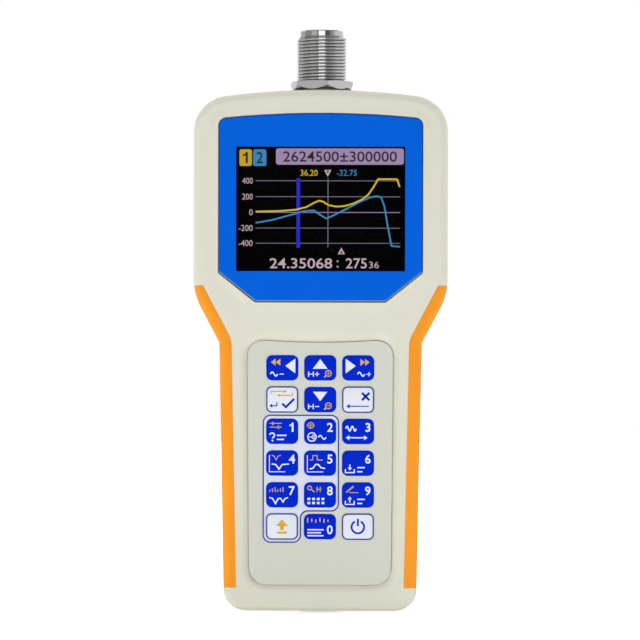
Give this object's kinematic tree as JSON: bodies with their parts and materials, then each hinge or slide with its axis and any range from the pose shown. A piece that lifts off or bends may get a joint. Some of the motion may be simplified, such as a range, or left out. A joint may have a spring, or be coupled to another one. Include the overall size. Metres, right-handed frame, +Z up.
{
  "type": "antenna analyzer",
  "caption": "Handheld antenna analyzer with a radio socket on top, a colour screen, a membrane keypad and soft side grips.",
  "frame": {"origin": "on the flat bottom of the housing, midway across and at the joint between the two shells", "axes": "+Z up along the socket's axis, +X to the right of someone who looks at the screen, the screen faces -Y"},
  "size_m": [0.0812, 0.032, 0.1867],
  "materials": {
    "ivory_plastic": "fine moulded grain",
    "grip_rubber": "orange soft overmoulding, matt",
    "blue_lens": "printed on the back of a clear plate",
    "adhesive": "black foam tape",
    "screen_glass": "glossy glass of a screen",
    "light_guide": "white light guide",
    "black_plastic": "moulded",
    "keypad_film": "printed polyester film, satin",
    "blue_key": "printed film, satin",
    "white_key": "printed film, satin",
    "spring_steel": "plain",
    "circuit_board": "green solder mask",
    "tinned_steel": "tinned",
    "zinc_steel": "zinc plated",
    "nickel_brass": "nickel plated brass",
    "white_insulator": "white fluoroplastic",
    "gold_contact": "gold plated",
    "copper_strip": "bare copper alloy",
    "cell_sleeve": "printed sleeve on a steel can"
  },
  "bodies": {
    "analyzer": {"battery_plates": "tinned_steel", "battery_springs": "spring_steel", "board_screws": "zinc_steel", "buzzer": "black_plastic", "contact_strip": "copper_strip", "display_lens": "blue_lens", "front_shell": "ivory_plastic", "housing_screws": "zinc_steel", "keypad_overlay": "keypad_film", "lcd_backlight": "light_guide", "lcd_frame": "black_plastic", "lcd_glass": "screen_glass", "left_battery": "cell_sleeve", "left_grip": "grip_rubber", "lens_tape": "adhesive", "lock_washer": "nickel_brass", "main_board": "circuit_board", "rear_shell": "ivory_plastic", "rf_shield": "tinned_steel", "right_battery": "cell_sleeve", "right_grip": "grip_rubber", "snap_domes": "spring_steel", "socket_body": "nickel_brass", "socket_contact": "gold_contact", "socket_insulator": "white_insulator", "socket_nut": "nickel_brass", "usb_insert": "black_plastic", "usb_shell": "tinned_steel"},
    "battery_cover": {"battery_cover": "ivory_plastic"},
    "key_function": {"key_function": "white_key"},
    "key_0": {"key_0": "blue_key"},
    "key_power": {"key_power": "white_key"},
    "key_7": {"key_7": "blue_key"},
    "key_8": {"key_8": "blue_key"},
    "key_9": {"key_9": "blue_key"},
    "key_4": {"key_4": "blue_key"},
    "key_5": {"key_5": "blue_key"},
    "key_6": {"key_6": "blue_key"},
    "key_1": {"key_1": "blue_key"},
    "key_2": {"key_2": "blue_key"},
    "key_3": {"key_3": "blue_key"},
    "key_ok": {"key_ok": "white_key"},
    "key_down": {"key_down": "blue_key"},
    "key_cancel": {"key_cancel": "white_key"},
    "key_left": {"key_left": "blue_key"},
    "key_up": {"key_up": "blue_key"},
    "key_right": {"key_right": "blue_key"}
  },
  "joints": [
    {"name": "press_function", "type": "slide", "parent": "analyzer", "child": "key_function", "axis": [0, 1, 0], "range_m": [0, 0.0003], "stiffness_N_per_m": 1000},
    {"name": "press_0", "type": "slide", "parent": "analyzer", "child": "key_0", "axis": [0, 1, 0], "range_m": [0, 0.0003], "stiffness_N_per_m": 1000},
    {"name": "press_power", "type": "slide", "parent": "analyzer", "child": "key_power", "axis": [0, 1, 0], "range_m": [0, 0.0003], "stiffness_N_per_m": 1000},
    {"name": "press_7", "type": "slide", "parent": "analyzer", "child": "key_7", "axis": [0, 1, 0], "range_m": [0, 0.0003], "stiffness_N_per_m": 1000},
    {"name": "press_8", "type": "slide", "parent": "analyzer", "child": "key_8", "axis": [0, 1, 0], "range_m": [0, 0.0003], "stiffness_N_per_m": 1000},
    {"name": "press_9", "type": "slide", "parent": "analyzer", "child": "key_9", "axis": [0, 1, 0], "range_m": [0, 0.0003], "stiffness_N_per_m": 1000},
    {"name": "press_4", "type": "slide", "parent": "analyzer", "child": "key_4", "axis": [0, 1, 0], "range_m": [0, 0.0003], "stiffness_N_per_m": 1000},
    {"name": "press_5", "type": "slide", "parent": "analyzer", "child": "key_5", "axis": [0, 1, 0], "range_m": [0, 0.0003], "stiffness_N_per_m": 1000},
    {"name": "press_6", "type": "slide", "parent": "analyzer", "child": "key_6", "axis": [0, 1, 0], "range_m": [0, 0.0003], "stiffness_N_per_m": 1000},
    {"name": "press_1", "type": "slide", "parent": "analyzer", "child": "key_1", "axis": [0, 1, 0], "range_m": [0, 0.0003], "stiffness_N_per_m": 1000},
    {"name": "press_2", "type": "slide", "parent": "analyzer", "child": "key_2", "axis": [0, 1, 0], "range_m": [0, 0.0003], "stiffness_N_per_m": 1000},
    {"name": "press_3", "type": "slide", "parent": "analyzer", "child": "key_3", "axis": [0, 1, 0], "range_m": [0, 0.0003], "stiffness_N_per_m": 1000},
    {"name": "press_ok", "type": "slide", "parent": "analyzer", "child": "key_ok", "axis": [0, 1, 0], "range_m": [0, 0.0003], "stiffness_N_per_m": 1000},
    {"name": "press_down", "type": "slide", "parent": "analyzer", "child": "key_down", "axis": [0, 1, 0], "range_m": [0, 0.0003], "stiffness_N_per_m": 1000},
    {"name": "press_cancel", "type": "slide", "parent": "analyzer", "child": "key_cancel", "axis": [0, 1, 0], "range_m": [0, 0.0003], "stiffness_N_per_m": 1000},
    {"name": "press_left", "type": "slide", "parent": "analyzer", "child": "key_left", "axis": [0, 1, 0], "range_m": [0, 0.0003], "stiffness_N_per_m": 1000},
    {"name": "press_up", "type": "slide", "parent": "analyzer", "child": "key_up", "axis": [0, 1, 0], "range_m": [0, 0.0003], "stiffness_N_per_m": 1000},
    {"name": "press_right", "type": "slide", "parent": "analyzer", "child": "key_right", "axis": [0, 1, 0], "range_m": [0, 0.0003], "stiffness_N_per_m": 1000},
    {"name": "cover_swing", "type": "hinge", "parent": "analyzer", "child": "battery_cover", "pos_m": [0, 0.016, 0.0182], "axis": [-1, 0, 0], "range_deg": [0, 55]}
  ]
}
